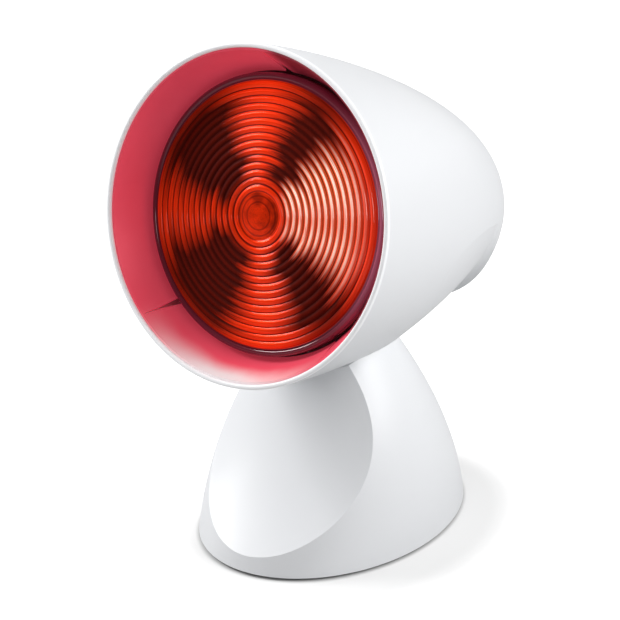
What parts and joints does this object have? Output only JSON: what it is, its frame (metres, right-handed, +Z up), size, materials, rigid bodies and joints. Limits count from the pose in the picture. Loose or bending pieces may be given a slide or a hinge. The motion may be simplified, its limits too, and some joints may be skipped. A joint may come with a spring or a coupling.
{
  "type": "infrared heat lamp",
  "caption": "Table-top infrared lamp: a white hood holds a red reflector bulb behind a crimson liner and tilts on a scooped oval stand",
  "frame": {"origin": "middle of the stand's footprint, on the table plane under the rubber feet", "axes": "+Z up, -Y the way the lamp shines, +X the lamp's own left"},
  "size_m": [0.145, 0.1985, 0.2373],
  "materials": {
    "hood_plastic": "moulded white, satin gloss",
    "stand_plastic": "moulded white, satin gloss",
    "base_plastic": "moulded off-white, fine texture",
    "liner_metal": "polished sheet under red lacquer",
    "lens_glass": "pressed red glass with concentric ridges",
    "bowl_glass": "red glass, silvered inside",
    "tungsten": "drawn wire, dull grey",
    "nickel": "drawn and stamped, satin",
    "cap_brass": "rolled and stamped, bright",
    "cap_insulation": "black glass insulation",
    "solder": "soldered tip",
    "porcelain": "white glaze",
    "plated_steel": "zinc plated",
    "screw_steel": "bright plated",
    "washer_plastic": "natural, satin",
    "block_plastic": "moulded dark grey",
    "lead_sleeve": "braided heat-proof sleeve",
    "rubber": "moulded, matt"
  },
  "bodies": {
    "stand": {"stand_shell": "stand_plastic", "base_plate": "base_plastic", "base_screws": "screw_steel", "cable_gland": "rubber", "terminal_block": "block_plastic", "terminal_screws": "cap_brass", "block_screws": "screw_steel", "stand_lead": "lead_sleeve", "lead_grommet": "rubber", "hinge_yoke": "plated_steel", "yoke_screws": "screw_steel", "pivot_bolt": "screw_steel", "pivot_nut": "screw_steel", "spring_washer": "screw_steel", "friction_washers": "washer_plastic", "foot_front_right": "rubber", "foot_rear_right": "rubber", "foot_front_left": "rubber", "foot_rear_left": "rubber"},
    "head": {"hood_shell": "hood_plastic", "reflector_liner": "liner_metal", "bulb_lens": "lens_glass", "bulb_bowl": "bowl_glass", "filament": "tungsten", "filament_posts": "nickel", "heat_shield": "nickel", "screw_cap": "cap_brass", "cap_insulator": "cap_insulation", "cap_contact": "solder", "lampholder_body": "porcelain", "lampholder_shell": "cap_brass", "lampholder_contact": "cap_brass", "lampholder_terminals": "screw_steel", "lampholder_plate": "plated_steel", "lampholder_screws": "screw_steel", "plate_screws": "screw_steel", "head_lead": "lead_sleeve"}
  },
  "joints": [
    {"name": "head_tilt", "type": "hinge", "parent": "stand", "child": "head", "pos_m": [0, -0.004, 0.077], "axis": [1, 0, 0], "range_deg": [-12.5, 12.5]}
  ]
}
